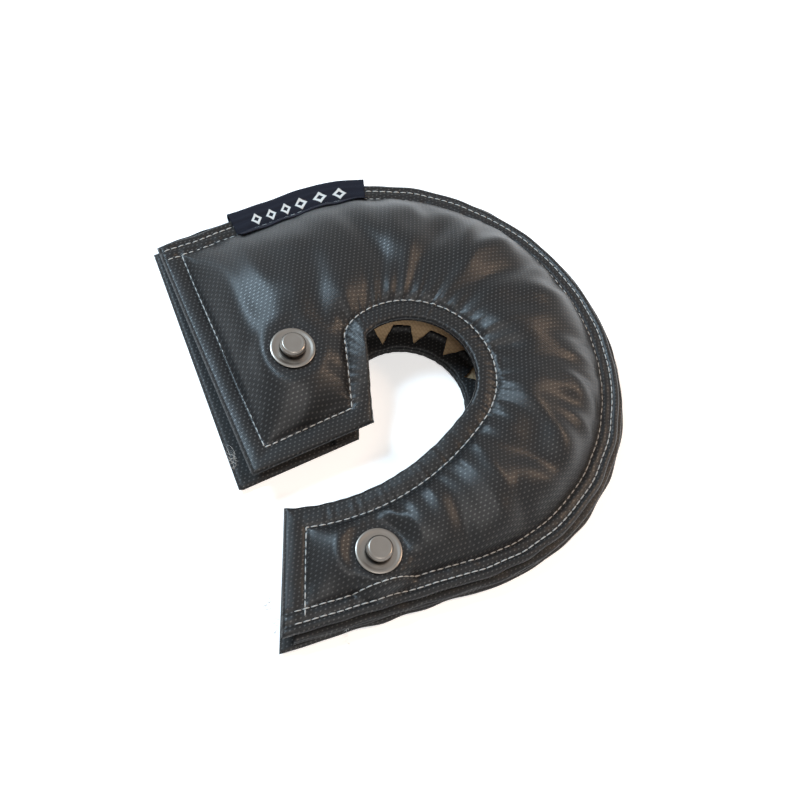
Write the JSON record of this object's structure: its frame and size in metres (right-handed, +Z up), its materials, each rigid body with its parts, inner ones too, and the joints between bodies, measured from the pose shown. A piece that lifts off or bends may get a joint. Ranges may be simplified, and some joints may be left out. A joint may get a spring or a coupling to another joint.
{
  "type": "turbo heat blanket",
  "caption": "Horseshoe-shaped padded heat blanket: black glass cloth panels, tan liner, folded side band, steel lacing anchors and a woven label.",
  "frame": {"origin": "centre of the box under the part, on the ground", "axes": "+Z up from the ground, through the front panel; the split between the arms opens towards -X"},
  "size_m": [0.2444, 0.2578, 0.0416],
  "materials": {
    "black_cloth": "coated satin weave with a soft sheen",
    "dark_cloth": "coated satin weave with a soft sheen",
    "liner_cloth": "matt plain weave",
    "mat_felt": "matt needled felt",
    "steel": "polished",
    "label_weave": "close tape weave with pale marks"
  },
  "bodies": {
    "root": {"front_cover": "black_cloth", "front_liner": "liner_cloth", "front_insulation": "mat_felt", "back_cover": "dark_cloth", "back_liner": "liner_cloth", "back_insulation": "mat_felt", "band_cover": "black_cloth", "band_liner": "liner_cloth", "band_insulation": "mat_felt", "label": "label_weave", "front_upper_anchor_washer": "steel", "front_upper_anchor_pin": "steel", "front_upper_anchor_lock_washer": "steel", "front_lower_anchor_washer": "steel", "front_lower_anchor_pin": "steel", "front_lower_anchor_lock_washer": "steel", "back_upper_anchor_washer": "steel", "back_upper_anchor_pin": "steel", "back_upper_anchor_lock_washer": "steel", "back_lower_anchor_washer": "steel", "back_lower_anchor_pin": "steel", "back_lower_anchor_lock_washer": "steel"}
  },
  "joints": []
}
